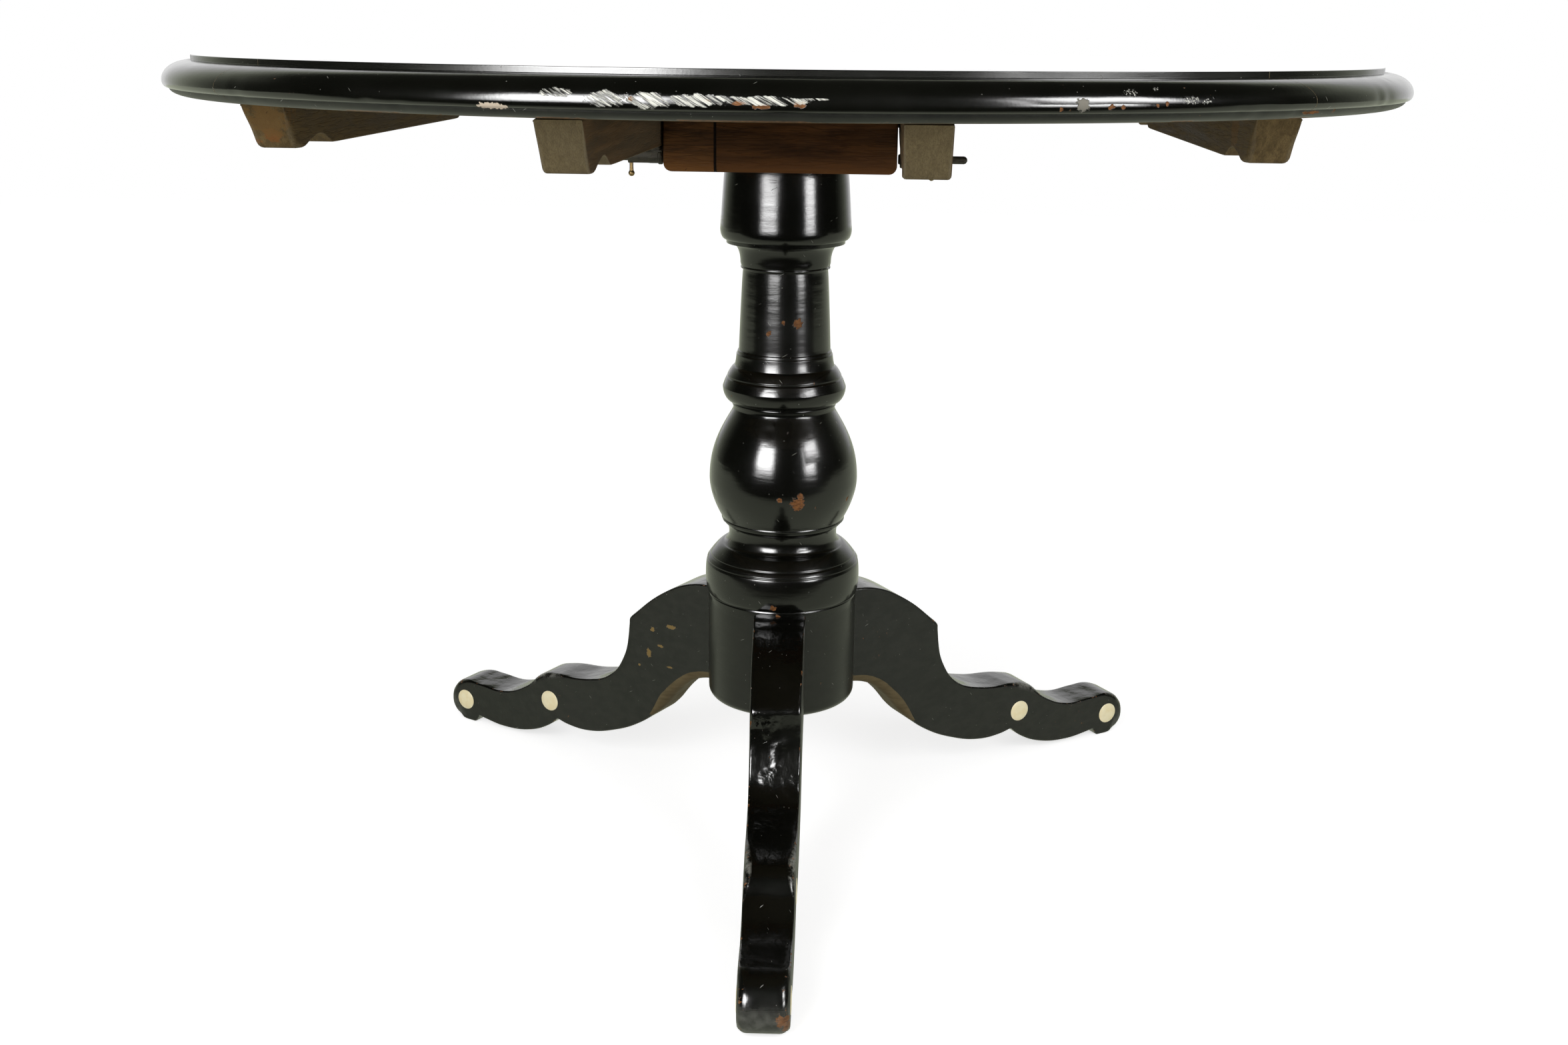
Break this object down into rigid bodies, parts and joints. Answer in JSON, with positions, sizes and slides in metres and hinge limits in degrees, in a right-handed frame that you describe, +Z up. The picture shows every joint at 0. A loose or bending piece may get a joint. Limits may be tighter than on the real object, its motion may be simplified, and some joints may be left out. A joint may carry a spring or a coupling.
{
  "type": "tilt-top pedestal table",
  "caption": "Round tilt-top pedestal table: moulded black lacquered top on battens, turned baluster column, scroll legs with bone discs, and bolts that lock the top level.",
  "frame": {"origin": "on the floor under the column's axis, which is also the middle of the round top", "axes": "+Z up; -Y towards the lock bolts and, within 2 degrees, the front leg; X along the axis that the top tilts about"},
  "size_m": [1.09, 1.09, 0.75],
  "materials": {
    "lacquer": "old glossy black lacquer on wood, scuffed and chipped",
    "bare_wood": "bare aged wood, matt",
    "block_wood": "bare reddish wood, matt",
    "strip_wood": "bare orange-brown wood, matt",
    "iron": "dark wrought iron",
    "brass": "dull old brass",
    "bone": "polished cream bone"
  },
  "bodies": {
    "stand": {"block": "block_wood", "block_side_strip": "strip_wood", "left_pivot_pin": "iron", "right_pivot_pin": "iron", "column": "lacquer", "tenon_wedge": "bare_wood", "front_leg": "lacquer", "right_leg": "lacquer", "left_leg": "lacquer", "front_leg_left_disc_1": "bone", "front_leg_left_disc_2": "bone", "front_leg_right_disc_1": "bone", "front_leg_right_disc_2": "bone", "right_leg_left_disc_1": "bone", "right_leg_left_disc_2": "bone", "right_leg_right_disc_1": "bone", "right_leg_right_disc_2": "bone", "left_leg_left_disc_1": "bone", "left_leg_left_disc_2": "bone", "left_leg_right_disc_1": "bone", "left_leg_right_disc_2": "bone"},
    "top": {"front_edge_board": "lacquer", "front_board": "lacquer", "centre_board": "lacquer", "rear_board": "lacquer", "rear_edge_board": "lacquer", "left_bearer": "bare_wood", "right_bearer": "bare_wood", "left_outer_batten": "bare_wood", "right_outer_batten": "bare_wood", "left_bearer_screw_1": "iron", "left_bearer_screw_2": "iron", "left_bearer_screw_3": "iron", "right_bearer_screw_1": "iron", "right_bearer_screw_2": "iron", "right_bearer_screw_3": "iron", "left_outer_batten_screw_1": "iron", "left_outer_batten_screw_2": "iron", "right_outer_batten_screw_1": "iron", "right_outer_batten_screw_2": "iron", "left_bolt_case": "iron", "right_bolt_case": "iron", "left_case_screw_1": "iron", "left_case_screw_2": "iron", "right_case_screw_1": "iron", "right_case_screw_2": "iron"},
    "left_lock": {"left_bolt": "iron", "left_finger_pin": "brass"},
    "right_lock": {"right_bolt": "iron", "right_finger_pin": "brass"}
  },
  "joints": [
    {"name": "top_tilt", "type": "hinge", "parent": "stand", "child": "top", "pos_m": [0, 0.076, 0.6907], "axis": [-1, 0, 0], "range_deg": [0, 90]},
    {"name": "left_lock_slide", "type": "slide", "parent": "top", "child": "left_lock", "axis": [-1, 0, 0], "range_m": [-0.015, 0]},
    {"name": "right_lock_slide", "type": "slide", "parent": "top", "child": "right_lock", "axis": [1, 0, 0], "range_m": [-0.015, 0]}
  ]
}
